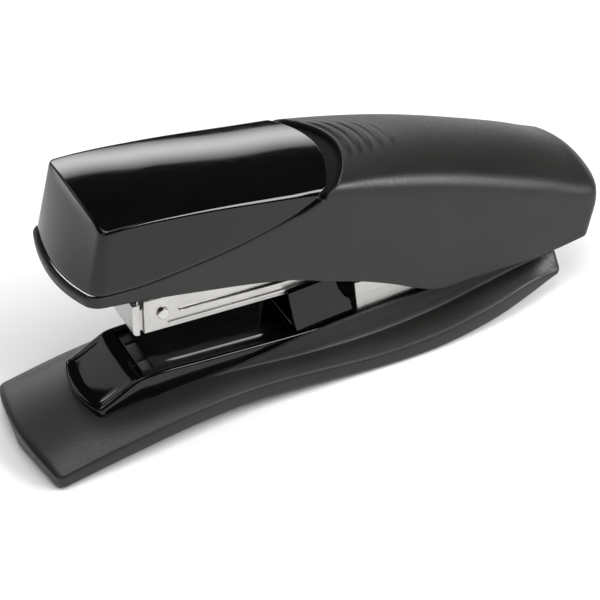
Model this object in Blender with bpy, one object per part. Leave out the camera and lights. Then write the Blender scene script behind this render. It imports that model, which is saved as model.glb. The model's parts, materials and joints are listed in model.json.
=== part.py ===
"""Front-loading desk stapler, resting open on its feet.

Frame: +X runs from the nose to the hinge end, +Y across, +Z up, with the origin on the table
under the middle of the stapler. Design values are in millimetres and meshes are written in metres.
The magazine, its tray and the handle are drawn level, with the hinge pin at their origin, and then
hang on an empty that tilts them to the rest angle.
"""

import math

import bmesh
import bpy
from mathutils import Matrix, Vector

MM = 0.001
GAP = 0.3

# Driving dimensions, in millimetres and degrees
BASE_FRONT = -92.4
BASE_REAR = 78.0
BASE_BULGE = 3.9
REAR_BULGE = 2.0
BASE_WALL = 2.4
HOLLOW_CEILING = 4.4
HOLLOW_FRONT = -87.8
HOLLOW_REAR = 55.2
PIVOT = (73.0, 20.3)
REST_TILT = 6.4
HEAD_FRONT = -71.0
HEAD_REAR = 93.0
HEAD_WALL = 2.2
HEAD_HALF_TOP = 20.8
HEAD_HALF_LOW = 21.6
HEAD_CROWN = 2.2
CAP_END = 5.0
CAP_BOW = 10.8
RECESS_WIDTH = 5.6
RECESS_DEPTH = 1.8
SEAM_GAP = 0.6
INSERT_HALF = 13.6
INSERT_FRONT = -73.6
INSERT_REAR = 11.0
SHOULDER_X = -60.0
SHOULDER_Z = 20.0
ANVIL_X = -55.5
TROUGH_HALF = 14.9
TROUGH_FLOOR = 9.0
MAGAZINE_HALF = 7.75
SHEET = 0.6
MAGAZINE_FRONT = -127.6
MAGAZINE_REAR = 7.0
MAGAZINE_LOW = -3.4
MAGAZINE_HIGH = 8.0
TRAY_HALF = 6.9
TRAY_SHEET = 0.5
NOSE_FRONT = -131.2
PIN_RADIUS = 2.5
BRACKET_FRONT = 11.4
BRACKET_REAR = 80.0
BRACKET_SHEET = 1.1
EAR_OUTER = 14.4
PIN_LENGTH = 29.0
FOOT_HEIGHT = HOLLOW_CEILING - GAP


def smooth(*points):
    """A function of x that runs smoothly through the (x, value) points and is level past them."""
    xs = [x for x, _ in points]
    values = [value for _, value in points]
    steps = [(values[i + 1] - values[i]) / (xs[i + 1] - xs[i]) for i in range(len(xs) - 1)]
    slopes = [steps[0]] + [(a + b) / 2 for a, b in zip(steps, steps[1:])] + [steps[-1]]

    def value_at(x):
        if x <= xs[0]:
            return values[0]
        if x >= xs[-1]:
            return values[-1]
        i = max(k for k in range(len(xs) - 1) if xs[k] <= x)
        width = xs[i + 1] - xs[i]
        s = (x - xs[i]) / width
        return (
            (1 + 2 * s) * (1 - s) ** 2 * values[i]
            + s * (1 - s) ** 2 * width * slopes[i]
            + s * s * (3 - 2 * s) * values[i + 1]
            + s * s * (s - 1) * width * slopes[i + 1]
        )

    return value_at


# The base: half width and height of its top edge, its underside, and the crease and crest of its flank
base_half = smooth(
    (-92, 24.8), (-68, 24.6), (-46, 23.8), (-28, 23.3), (0, 25.2), (32, 27.5), (52, 26.7), (66, 24.4),
    (78, 21.4),
)
base_edge = smooth(
    (-92, 5.4), (-70, 8.2), (-42, 9.7), (-14, 8.1), (15, 5.7), (34, 6.3), (52, 8.2), (66, 9.4), (78, 7.2)
)
base_under = smooth(
    (-92, 0.5), (-70, 2.8), (-45, 4.0), (-14, 2.6), (12, 0.6), (32, 0.5), (50, 2.0), (66, 4.2), (78, 5.6)
)
crease_half = smooth(
    (-92, 15.0), (-42, 15.0), (-24, 16.2), (-6, 17.7), (18, 18.2), (55, 18.0), (78, 17.4)
)
crease_height = smooth(
    (-92, 8.0), (-76, 11.6), (-60, 12.6), (-38, 12.0), (-6, 9.2), (16, 7.6), (36, 8.0), (54, 10.0),
    (66, 11.2), (78, 11.5),
)
crest_rise = smooth(
    (-92, 0.3), (-42, 0.3), (-26, 1.6), (-8, 5.2), (14, 7.4), (34, 6.8), (54, 4.4), (66, 2.8), (78, 1.6)
)
base_crown = smooth((-92, 0.5), (-76, 0.5), (-60, 0.3), (78, 0.3))
insert_top = smooth(
    (-76, 15.0), (-73.6, 14.6), (-68, 15.4), (-63, 18.4), (-60, 20.0), (-57, 20.1), (-40, 18.2), (-24, 16.4),
    (-8, 14.0), (11, 12.6),
)
# The head: its lower edge, its shoulder, the roundness of the shoulder, and the seam of its cap
head_low = smooth(
    (-71, 57.6), (-58, 54.8), (-40, 50.2), (-18, 44.2), (4, 36.0), (14, 31.4), (23, 26.0), (30, 21.0),
    (36, 17.8), (46, 16.9), (75, 15.4), (93, 16.4),
)
head_shoulder = smooth(
    (-71, 82.0), (-55, 80.7), (-40, 78.5), (-24, 75.3), (-8, 71.7), (18, 65.8), (41, 58.2), (66, 46.8),
    (85, 36.8), (93, 31.8),
)
head_round = smooth((-71, 1.0), (-4, 1.2), (20, 6.0), (93, 7.0))
seam_height = smooth(
    (-71, 61.0), (-58, 59.4), (-43, 59.5), (-28, 60.5), (-14, 62.6), (-9, 63.2), (-5, 63.6), (5, 64.2),
    (17, 60.4),
)


def material(name, colour, roughness, metallic=0.0):
    made = bpy.data.materials.get(name)
    if made is None:
        made = bpy.data.materials.new(name)
        made.use_nodes = True
        shader = made.node_tree.nodes["Principled BSDF"]
        shader.inputs["Base Color"].default_value = (*colour, 1.0)
        shader.inputs["Roughness"].default_value = roughness
        shader.inputs["Metallic"].default_value = metallic
    return made


def matte_black():
    return material("matte_black_plastic", (0.032, 0.031, 0.029), 0.55)


def gloss_black():
    return material("gloss_black_plastic", (0.004, 0.004, 0.004), 0.06)


def bright_steel():
    return material("bright_steel", (0.62, 0.60, 0.57), 0.28, 1.0)


def spring_steel():
    return material("spring_steel", (0.35, 0.35, 0.36), 0.3, 1.0)


def rubber():
    return material("rubber", (0.02, 0.02, 0.02), 0.9)


def finish(name, mesh_data, look, parent=None):
    """Turns a bmesh in millimetres into a named object in metres with one material."""
    bmesh.ops.remove_doubles(mesh_data, verts=mesh_data.verts, dist=1e-4)
    bmesh.ops.recalc_face_normals(mesh_data, faces=mesh_data.faces)
    if mesh_data.calc_volume(signed=True) < 0:
        bmesh.ops.reverse_faces(mesh_data, faces=mesh_data.faces)
    bmesh.ops.scale(mesh_data, vec=Vector((MM, MM, MM)), verts=mesh_data.verts)
    mesh = bpy.data.meshes.new(name)
    mesh_data.to_mesh(mesh)
    mesh_data.free()
    mesh.shade_smooth()
    mesh.set_sharp_from_angle(angle=math.radians(35))
    obj = bpy.data.objects.new(name, mesh)
    bpy.context.scene.collection.objects.link(obj)
    if look is not None:
        mesh.materials.append(look)
    obj.parent = parent
    return obj


def as_cutter(obj):
    obj.hide_render = True
    obj.display_type = "WIRE"
    return obj


def carve(obj, cutter, operation="DIFFERENCE", solver="EXACT"):
    """Cuts, joins or intersects obj with a helper solid, with Blender's Boolean modifier."""
    boolean = obj.modifiers.new(operation.lower(), "BOOLEAN")
    boolean.operation = operation
    boolean.solver = solver
    boolean.object = as_cutter(cutter)
    return obj


def box(name, low, high, look=None, parent=None, edge=0.0):
    made = bmesh.new()
    bmesh.ops.create_cube(made, size=1.0)
    size = Vector(high) - Vector(low)
    middle = (Vector(high) + Vector(low)) / 2
    bmesh.ops.scale(made, vec=size, verts=made.verts)
    bmesh.ops.translate(made, vec=middle, verts=made.verts)
    if edge:
        bmesh.ops.bevel(made, geom=made.edges[:], offset=edge, segments=2, affect="EDGES", profile=0.5)
    return finish(name, made, look, parent)


def rod(name, centre, axis, length, radius, look=None, parent=None, sides=20):
    """A cylinder about its centre, along the given axis."""
    made = bmesh.new()
    bmesh.ops.create_cone(
        made, cap_ends=True, segments=sides, radius1=radius, radius2=radius, depth=length
    )
    turn = Vector((0, 0, 1)).rotation_difference(Vector(axis)).to_matrix().to_4x4()
    bmesh.ops.transform(made, matrix=Matrix.Translation(centre) @ turn, verts=made.verts)
    return finish(name, made, look, parent)


def plate(name, outline, start, end, axis, look=None, parent=None):
    """A flat outline pushed along an axis: (x, z) points along Y, (y, z) along X, or (x, y) along Z."""
    place = {
        "X": lambda a, b, depth: (depth, a, b),
        "Y": lambda a, b, depth: (a, depth, b),
        "Z": lambda a, b, depth: (a, b, depth),
    }[axis]
    made = bmesh.new()
    near = [made.verts.new(place(a, b, start)) for a, b in outline]
    far = [made.verts.new(place(a, b, end)) for a, b in outline]
    made.faces.new(near)
    made.faces.new(far)
    for i in range(len(outline)):
        j = (i + 1) % len(outline)
        made.faces.new((near[i], near[j], far[j], far[i]))
    return finish(name, made, look, parent)


def arc(centre, radius, start, end, steps):
    """Points on a circle between two angles in degrees."""
    angles = [math.radians(start + (end - start) * i / steps) for i in range(steps + 1)]
    return [(centre[0] + radius * math.cos(a), centre[1] + radius * math.sin(a)) for a in angles]


def lofted(name, stations, half_outline, place, columns=8, look=None, parent=None):
    """A closed solid through mirrored cross-sections, with gridded ends.

    half_outline(x) lists (y, z) from the outer bottom corner up to the top of the middle line,
    and place(x, y, z) says where such a point really lies.
    """
    made = bmesh.new()
    rings = []
    for x in stations:
        half = half_outline(x)
        bottom_y, bottom_z = half[0]
        loop = [(-y, z) for y, z in half] + [(y, z) for y, z in reversed(half[:-1])]
        loop += [(bottom_y * (1 - 2 * k / columns), bottom_z) for k in range(1, columns)]
        rings.append([made.verts.new(place(x, y, z)) for y, z in loop])
    count = len(rings[0])
    for first, second in zip(rings, rings[1:]):
        for i in range(count):
            j = (i + 1) % count
            made.faces.new((first[i], first[j], second[j], second[i]))
    for x, ring in ((stations[0], rings[0]), (stations[-1], rings[-1])):
        half = half_outline(x)
        top = len(half) - 1
        lower = [ring[0]] + ring[: 2 * top : -1] + [ring[2 * top]]
        for j in range(1, top):
            y, z = half[j]
            upper = [ring[j]]
            upper += [made.verts.new(place(x, y * (2 * k / columns - 1), z)) for k in range(1, columns)]
            upper += [ring[2 * top - j]]
            for k in range(columns):
                made.faces.new((lower[k], lower[k + 1], upper[k + 1], upper[k]))
            lower = upper
        for k in range(columns):
            made.faces.new((lower[k], lower[k + 1], ring[top]))
    return finish(name, made, look, parent)


def spread(start, end, count):
    return [start + (end - start) * i / (count - 1) for i in range(count)]


def grown(value, start, end):
    """0 at start, 1 at end, and a straight ramp between."""
    return min(1.0, max(0.0, (value - start) / (end - start)))


# Base


def base_outline(x):
    half = base_half(x)
    edge = base_edge(x)
    under = base_under(x)
    flange = edge - under
    crease = (crease_half(x), crease_height(x))
    crest = (crease[0] - 0.4 - 0.22 * crest_rise(x), crease[1] + crest_rise(x))
    hollowing = 0.04 * crest_rise(x)
    return [
        (half - 1.2, under),
        (half, under + min(1.4, 0.35 * flange)),
        (half, edge - min(1.2, 0.3 * flange)),
        (half - 1.0, edge),
        ((half + crease[0]) / 2, (edge + crease[1]) / 2 + 0.1),
        crease,
        ((crease[0] + crest[0]) / 2 - hollowing, (crease[1] + crest[1]) / 2 - hollowing),
        crest,
        (min(crest[0] - 0.6, TROUGH_HALF + 0.3), crest[1] + 0.15),
        (0.0, crest[1] + base_crown(x)),
    ]


def base_place(x, y, z):
    """Bows the front and the rear edge of the base."""
    front = BASE_BULGE * (1 - (y / 25) ** 2) * (1 - grown(x, BASE_FRONT, -58))
    rear = REAR_BULGE * (1 - (y / 20) ** 2) * grown(x, 60, BASE_REAR)
    return (x - front + rear, y, z)


def make_base():
    shell = lofted(
        "base_shell", spread(BASE_FRONT, BASE_REAR, 30), base_outline, base_place, look=matte_black()
    )
    rim = [(x, base_half(x) - BASE_WALL) for x in spread(HOLLOW_FRONT, HOLLOW_REAR, 15)]
    hollow = plate("cut_base_hollow", rim + [(x, -y) for x, y in reversed(rim)], -5, HOLLOW_CEILING, "Z")
    carve(shell, hollow, solver="MANIFOLD")
    trough = box("cut_trough", (INSERT_REAR - 2, -TROUGH_HALF, TROUGH_FLOOR), (100, TROUGH_HALF, 60))
    carve(shell, trough, solver="MANIFOLD")
    pocket = plate("cut_pocket", insert_plan(GAP), 7.4, 40, "Z")
    carve(shell, pocket, solver="MANIFOLD")
    return shell


def insert_plan(margin):
    """Plan of the tray-shaped insert, with its bowed front lip."""
    half = INSERT_HALF + 0.4 + margin
    front = [(INSERT_FRONT - margin - 3.2 * (1 - (y / half) ** 2), y) for y in spread(half, -half, 9)]
    return front + [(INSERT_REAR + margin, -half), (INSERT_REAR + margin, half)]


def insert_outline(x):
    top = insert_top(x)
    dish = 1.1 * grown(x, INSERT_FRONT, -70) * (1 - grown(x, -64, -61))
    return [
        (INSERT_HALF + 0.4, 7.8),
        (INSERT_HALF + 0.2, top - 0.8),
        (INSERT_HALF - 0.3, top),
        (INSERT_HALF - 1.6, top - dish * 0.7),
        (INSERT_HALF - 6, top - dish),
        (0.0, top - dish + 0.05),
    ]


def insert_place(x, y, z):
    bow = 3.2 * (1 - (y / INSERT_HALF) ** 2) * (1 - grown(x, INSERT_FRONT, SHOULDER_X))
    return (x - bow, y, z)


def make_insert():
    insert = lofted(
        "base_insert",
        [INSERT_FRONT, -72, -70, -68, -66, -64, -62, -60, -58, -48, -36, -24, -12, 0, INSERT_REAR],
        insert_outline,
        insert_place,
        look=gloss_black(),
    )
    seat = box("cut_anvil_seat", (ANVIL_X - 2.2, -10.6, SHOULDER_Z - 2.2), (ANVIL_X + 2.2, 10.6, 40))
    carve(insert, seat, solver="MANIFOLD")
    groove = box("cut_insert_groove", (-51, -9.2, SHOULDER_Z - 4.4), (-9.3, 9.2, 40))
    bmesh_tilt(groove, 5.6, (-51, 0, SHOULDER_Z))
    carve(insert, groove, solver="MANIFOLD")
    lightening = box("cut_insert_underside", (-66, -11, 0), (6, 11, 10.6))
    carve(insert, lightening, solver="MANIFOLD")
    return insert


def bmesh_tilt(obj, degrees, centre):
    """Turns a mesh about a cross axis through a point, so that its +X end drops for positive degrees."""
    about = Vector(centre) * MM
    turn = Matrix.Rotation(math.radians(degrees), 4, "Y")
    obj.data.transform(Matrix.Translation(about) @ turn @ Matrix.Translation(-about))


def make_anvil():
    made = box(
        "anvil_plate",
        (ANVIL_X - 1.9, -10.3, SHOULDER_Z - 1.9),
        (ANVIL_X + 1.9, 10.3, SHOULDER_Z - 0.9),
        bright_steel(),
    )
    for side in (-1, 1):
        spot = (ANVIL_X, side * 4.4, SHOULDER_Z - 0.2)
        dimple = rod(f"cut_dimple_{side}", spot, (1, 0, 0), 3.0, 1.1, sides=12)
        carve(made, dimple)
    return made


def make_saddle():
    """The glossy cradle in which the magazine rests when it is pressed down."""
    outer = [(-13.4, 14.9), (-13.2, 16.0), (-12.2, 18.4), (-11.2, 21.8), (-10.4, 25.2), (-9.9, 27.6)]
    inner = [(-9.2, 27.6), (-9.2, 15.5)]
    section = outer + inner + [(-y, z) for y, z in reversed(outer + inner)]
    saddle = plate("magazine_saddle", section, -8.6, 10.4, "X", gloss_black())
    slope = [(7.4, 40.0), (7.2, 26.0), (7.6, 23.0), (8.6, 20.8), (10.0, 19.2), (12.0, 18.0)]
    slope += [(20.0, 17.4), (20.0, 40.0)]
    slant = plate("cut_saddle_slant", slope, -20, 20, "Y")
    carve(saddle, slant)
    return saddle


def make_feet():
    spots = {"front": (-82.0, 15.0), "middle": (24.0, 19.0)}
    for place, (x, y) in spots.items():
        for side, word in ((-1, "right"), (1, "left")):
            middle = (x, side * y, FOOT_HEIGHT / 2)
            rod(f"foot_{place}_{word}", middle, (0, 0, 1), FOOT_HEIGHT, 4.2, rubber(), sides=24)


def make_base_metal():
    floor = TROUGH_FLOOR + GAP
    inner = EAR_OUTER - BRACKET_SHEET
    left_ear = [(inner, floor + BRACKET_SHEET), (inner, 29), (EAR_OUTER, 29), (EAR_OUTER, floor)]
    ears = [(-y, z) for y, z in reversed(left_ear)] + left_ear
    bracket = plate("hinge_bracket", ears, BRACKET_FRONT, BRACKET_REAR, "X", bright_steel())
    low_line = [(BRACKET_FRONT - 1, 0), (BRACKET_REAR + 1, 0), (BRACKET_REAR + 1, 15.5)]
    high_line = [(60, 19.6), (40, 21.6), (24, 24.0), (BRACKET_FRONT - 1, 26.2)]
    profile = low_line + arc(PIVOT, 5.6, -20, 165, 12) + high_line
    keep = plate("cut_bracket_side", profile, -20, 20, "Y")
    carve(bracket, keep, "INTERSECT")
    hole = rod("cut_bracket_hole", (PIVOT[0], 0, PIVOT[1]), (0, 1, 0), 30, PIN_RADIUS + 0.15, sides=24)
    carve(bracket, hole)
    rod("hinge_pin", (PIVOT[0], 0, PIVOT[1]), (0, 1, 0), PIN_LENGTH, PIN_RADIUS, bright_steel(), sides=24)
    for side, word in ((-1, "right"), (1, "left")):
        spot = (PIVOT[0], side * 11.35, PIVOT[1])
        clip = rod(f"pin_clip_{word}", spot, (0, 1, 0), 0.8, 4.2, spring_steel(), sides=20)
        hole = rod(f"cut_clip_{word}", spot, (0, 1, 0), 3, PIN_RADIUS + 0.15, sides=20)
        carve(clip, hole)
    for place, x in (("front", 55.6), ("rear", 62.4)):
        spot = (x, 0, floor + 2.0)
        head = rod(f"bracket_screw_{place}", spot, (0, 0, 1), 1.1, 2.6, bright_steel(), sides=16)
        slot = box(f"cut_screw_{place}", (x - 2, -0.35, floor + 2.1), (x + 2, 0.35, floor + 4))
        carve(head, slot)


def coil(name, start, end, radius, wire, turns, look, parent=None, steps=14):
    """A round-wire spring between two points."""
    first = Vector(start)
    along = Vector(end) - first
    turn = Vector((0, 0, 1)).rotation_difference(along).to_matrix()
    curve = bpy.data.curves.new(name, "CURVE")
    curve.dimensions = "3D"
    curve.bevel_depth = wire * MM
    curve.bevel_resolution = 1
    curve.use_fill_caps = True
    count = turns * steps + 1
    spline = curve.splines.new("POLY")
    spline.points.add(count - 1)
    for i in range(count):
        angle = 2 * math.pi * i / steps
        height = along.length * i / (count - 1)
        point = first + turn @ Vector((radius * math.cos(angle), radius * math.sin(angle), height))
        spline.points[i].co = (*(point * MM), 1.0)
    curve.materials.append(look)
    obj = bpy.data.objects.new(name, curve)
    bpy.context.scene.collection.objects.link(obj)
    obj.parent = parent
    return obj


def make_lift_spring():
    low = TROUGH_FLOOR + GAP + BRACKET_SHEET + 0.7
    coil("lift_spring", (33.0, 0, low), (33.0, 0, 20.4), 3.2, 0.4, 5, spring_steel())


# Magazine, drawn level with the pin at its origin


def channel(low, high, half, sheet):
    """(y, z) section of an open-topped channel."""
    return [
        (-half, low),
        (half, low),
        (half, high),
        (half - sheet, high),
        (half - sheet, low + sheet),
        (-half + sheet, low + sheet),
        (-half + sheet, high),
        (-half, high),
    ]


def make_magazine(pivot):
    housing = plate(
        "magazine_housing",
        channel(MAGAZINE_LOW, MAGAZINE_HIGH, MAGAZINE_HALF, SHEET),
        MAGAZINE_FRONT,
        MAGAZINE_REAR,
        "X",
        bright_steel(),
        pivot,
    )
    hole = rod("cut_housing_hole", (0, 0, 0), (0, 1, 0), 30, PIN_RADIUS + 0.15, parent=pivot, sides=24)
    carve(housing, hole)
    for side in (-1, 1):
        wall = side * (MAGAZINE_HALF - SHEET / 2)
        slot = plate(
            f"cut_slot_{side}",
            arc((-115.4, 2.6), 1.3, 90, 270, 8) + arc((-60, 2.6), 1.3, -90, 90, 8),
            wall - 1,
            wall + 1,
            "Y",
            parent=pivot,
        )
        carve(housing, slot)
        ridge = box(
            f"join_ridge_{side}",
            (-120, side * (MAGAZINE_HALF + 0.125) - 0.325, MAGAZINE_LOW + 1.2),
            (-8, side * (MAGAZINE_HALF + 0.125) + 0.325, MAGAZINE_LOW + 2.2),
            parent=pivot,
        )
        carve(housing, ridge, "UNION")
    for side, word in ((-1, "right"), (1, "left")):
        rod(
            f"magazine_rivet_{word}",
            (-121.6, side * (MAGAZINE_HALF + GAP + 0.35), 2.4),
            (0, 1, 0),
            0.7,
            1.8,
            bright_steel(),
            pivot,
            sides=16,
        )
    left_leg = [(8.05, 8.3), (8.05, 4.6), (8.7, 4.6), (8.7, 8.95)]
    strap = [(-y, z) for y, z in reversed(left_leg)] + left_leg
    plate("spring_bridge", strap, -74, -64, "X", spring_steel(), pivot)


def make_tray(tray):
    low = MAGAZINE_LOW + SHEET + GAP
    trough = plate(
        "tray_channel",
        channel(low, low + 7.4, TRAY_HALF, TRAY_SHEET),
        NOSE_FRONT + SHEET + GAP,
        -10.0,
        "X",
        bright_steel(),
        tray,
    )
    exit_slot = box("cut_exit_slot", (NOSE_FRONT - 1, -6.3, low - 2), (-127.4, 6.3, low + 1), parent=tray)
    carve(trough, exit_slot)
    flange = MAGAZINE_HALF
    u_section = [
        (NOSE_FRONT, -flange),
        (-128.9, -flange),
        (-128.9, -flange + SHEET - 0.05),
        (NOSE_FRONT + SHEET, -flange + SHEET - 0.05),
        (NOSE_FRONT + SHEET, flange - SHEET + 0.05),
        (-128.9, flange - SHEET + 0.05),
        (-128.9, flange),
        (NOSE_FRONT, flange),
    ]
    nose_low, nose_high = MAGAZINE_LOW - 0.2, MAGAZINE_HIGH - 0.6
    nose = plate("tray_nose", u_section, nose_low, nose_high, "Z", bright_steel(), tray)
    rounding = plate(
        "cut_nose_corner",
        [(NOSE_FRONT - 2, MAGAZINE_LOW - 2), (NOSE_FRONT + 1.6, MAGAZINE_LOW - 2)]
        + arc((NOSE_FRONT + 1.6, MAGAZINE_LOW + 1.4), 1.6, -90, -180, 6)
        + [(NOSE_FRONT - 2, MAGAZINE_LOW + 1.4)],
        -20,
        20,
        "Y",
        parent=tray,
    )
    carve(nose, rounding)
    box("tray_stop", (-14.0, -6.1, low + 0.8), (-11.0, 6.1, low + 6.4), matte_black(), tray)


def make_pusher(pusher):
    low = MAGAZINE_LOW + SHEET + GAP + TRAY_SHEET
    box("staple_pusher", (-112, -6.1, low + GAP), (-101, 6.1, low + 5.6), gloss_black(), pusher, edge=0.4)


def make_pusher_spring(tray):
    middle = MAGAZINE_LOW + SHEET + GAP + TRAY_SHEET + 3.3
    start, end = (-100.5, 0, middle), (-14.6, 0, middle)
    coil("pusher_spring", start, end, 2.3, 0.3, 16, spring_steel(), tray, steps=8)


# Head


def head_place(grow, cap):
    """Bows the nose and the back of the head. grow moves the nose outwards, by millimetres."""

    def place(x, y, z):
        width = 1 - (y / HEAD_HALF_LOW) ** 2
        height = grown(z, 60, 82)
        bow = (5.2 - 4.4 * height) * width - 5.4 * height + grow
        front = bow * (1 - grown(x, HEAD_FRONT, -40)) ** 1.5
        if cap:
            bowed = x + CAP_BOW * width * grown(x, -30, CAP_END) ** 2
            drop = (head_shoulder(x) - head_shoulder(bowed)) * grown(z, 64, 66.5)
            return (bowed - front, y, z - drop)
        rake = 6.0 * (1 - grown(z, 14, 31)) + 1.6 * grown(z, 31, 36)
        return (x - front + (3.6 * width - rake) * grown(x, 50, HEAD_REAR) ** 2, y, z)

    return place


def head_outline(low, wall=0.0):
    """Half sections of the head: lower corner, side, rounded shoulder and crowned top."""

    def outline(x):
        top = head_shoulder(x) - wall
        bottom = low(x)
        radius = max(head_round(x) - wall, 0.4)
        half = HEAD_HALF_TOP - wall
        flare = HEAD_HALF_LOW - HEAD_HALF_TOP
        side_top = top - radius

        def side(z):
            return half + flare * grown(80 - z, 0, 40)

        points = [(side(bottom), bottom)]
        points += [(side(z), z) for z in spread(bottom, side_top, 4)[1:3]]
        points += [(y, z) for y, z in arc((side(side_top) - radius, side_top), radius, 0, 78, 4)]
        crest = points[-1]
        points += [(crest[0] * k, crest[1] + HEAD_CROWN * (1 - k * k)) for k in (0.75, 0.5, 0.25, 0.0)]
        return points

    return outline


def cap_zone():
    """The block of space that the glossy cap takes: ahead of a bowed line and above the side seam."""
    made = bmesh.new()
    rows = []
    for y in spread(-30, 30, 21):
        width = 1 - (y / HEAD_HALF_LOW) ** 2
        end = CAP_END + CAP_BOW * max(width, -0.4)
        low = [made.verts.new((x, y, seam_height(x))) for x in spread(-95, end, 26)]
        high = [made.verts.new((x, y, 110)) for x in spread(-95, end, 26)]
        rows.append((low, high))
    for (low, high), (next_low, next_high) in zip(rows, rows[1:]):
        for a, b in ((low, next_low), (high, next_high)):
            for i in range(25):
                made.faces.new((a[i], a[i + 1], b[i + 1], b[i]))
        for i in (0, 25):
            made.faces.new((low[i], high[i], next_high[i], next_low[i]))
    for low, high in (rows[0], rows[-1]):
        for i in range(25):
            made.faces.new((low[i], low[i + 1], high[i + 1], high[i]))
    return finish("cut_cap_zone", made, None)


def make_handle_shell(pivot):
    shell = lofted(
        "handle_shell",
        spread(HEAD_FRONT, HEAD_REAR, 30),
        head_outline(head_low),
        head_place(1.0, False),
        look=matte_black(),
    )
    hollow = lofted(
        "cut_head_hollow",
        spread(HEAD_FRONT + HEAD_WALL, HEAD_REAR - HEAD_WALL, 26),
        head_outline(lambda x: head_low(x) - 6, HEAD_WALL),
        head_place(0.6, False),
    )
    carve(shell, hollow)
    carve(shell, cap_zone())
    keep_world(shell, pivot)
    return shell


def keep_world(obj, parent):
    """Hangs an object that was drawn in place on a tilted empty, without moving it."""
    obj.parent = parent
    obj.matrix_parent_inverse = parent.matrix_world.inverted()


def finger_recess():
    """The crescent-shaped space that sinks the back of the cap below the shell behind it."""
    made = bmesh.new()
    rows = []
    for y in spread(-23, 23, 17):
        width = 1 - (y / HEAD_HALF_LOW) ** 2
        end = CAP_END + CAP_BOW * width
        start = end - RECESS_WIDTH * (0.75 + 0.25 * width)
        height = head_shoulder((start + end) / 2) - RECESS_DEPTH + HEAD_CROWN * width
        rows.append([made.verts.new(p) for p in (
            (start, y, height + 0.5),
            (start, y, height + 20),
            (end + 2, y, height + 20),
            (end + 2, y, height - 0.6),
        )])
    for first, second in zip(rows, rows[1:]):
        for i in range(4):
            j = (i + 1) % 4
            made.faces.new((first[i], first[j], second[j], second[i]))
    made.faces.new(rows[0])
    made.faces.new(rows[-1])
    return finish("cut_finger_recess", made, None)


def make_cap(pivot):
    def low(x):
        return seam_height(x) + SEAM_GAP

    cap = lofted(
        "top_cap",
        spread(HEAD_FRONT, CAP_END - GAP, 18),
        head_outline(low),
        head_place(0.0, True),
        look=gloss_black(),
    )
    hollow = lofted(
        "cut_cap_hollow",
        spread(HEAD_FRONT + HEAD_WALL, CAP_END - 2 * HEAD_WALL, 16),
        head_outline(lambda x: low(x) - 6, HEAD_WALL),
        head_place(0.0, True),
    )
    carve(cap, hollow)
    carve(cap, finger_recess())
    keep_world(cap, pivot)
    return cap


def make_handle_metal(handle):
    left_side = [(8.4, 18.2), (8.4, -6.6), (9.1, -6.6), (9.1, 18.9)]
    sides = left_side + [(-y, z) for y, z in reversed(left_side)]
    frame = plate("handle_frame", sides, -128.0, 6.0, "X", bright_steel(), handle)
    profile = [(-130, 27), (-130, 18.0), (-80, 14.6), (-60, 13.4), (-40, 11.0), (-14, 7.0), (-6, 0)]
    profile += arc((0, 0), 5.2, -160, 0, 10) + [(6, 9), (-8, 18), (-20, 27)]
    keep = plate("cut_frame_profile", profile, -20, 20, "Y", parent=handle)
    carve(frame, keep, "INTERSECT")
    hole = rod("cut_frame_hole", (0, 0, 0), (0, 1, 0), 30, PIN_RADIUS + 0.15, parent=handle, sides=24)
    carve(frame, hole)
    box("driver_blade", (-129.3, -6.1, 6.3), (-128.7, 6.1, 24.5), bright_steel(), handle)
    box("blade_clamp", (-128.2, -5.0, 19.3), (-120.0, 5.0, 21.3), spring_steel(), handle)
    for place, x in (("front", -96.0), ("rear", -30.0)):
        rod(f"frame_screw_{place}", (x, 0, 19.9), (0, 0, 1), 1.3, 2.8, bright_steel(), handle, sides=16)


def make_return_spring(handle):
    coil("return_spring", (-69, 0, 9.8), (-69, 0, 17.4), 3.0, 0.4, 4, spring_steel(), handle)


def tilted_empty(name, parent=None):
    empty = bpy.data.objects.new(name, None)
    bpy.context.scene.collection.objects.link(empty)
    if parent is None:
        empty.location = (PIVOT[0] * MM, 0, PIVOT[1] * MM)
        empty.rotation_euler = (0, math.radians(REST_TILT), 0)
    empty.parent = parent
    bpy.context.view_layer.update()
    return empty


def main():
    for obj in list(bpy.data.objects):
        bpy.data.objects.remove(obj, do_unlink=True)
    make_base()
    make_insert()
    make_anvil()
    make_saddle()
    make_feet()
    make_base_metal()
    make_lift_spring()
    magazine = tilted_empty("magazine_pivot")
    make_magazine(magazine)
    tray = tilted_empty("tray_slide", magazine)
    make_tray(tray)
    make_pusher(tilted_empty("pusher_slide", tray))
    make_pusher_spring(tray)
    handle = tilted_empty("handle_pivot", magazine)
    make_handle_shell(handle)
    make_cap(handle)
    make_handle_metal(handle)
    make_return_spring(handle)


main()
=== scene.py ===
"""The looks of a front-loading desk stapler: fine casings, softened metal parts, materials and studio light.

Shapes are worked out in millimetres, in the same frame as the CAD model: +X runs from the nose to the
hinge end, +Y across and +Z up. Meshes are written in metres.
"""

import json
import math

import bmesh
import bpy
from mathutils import Matrix, Vector

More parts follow.
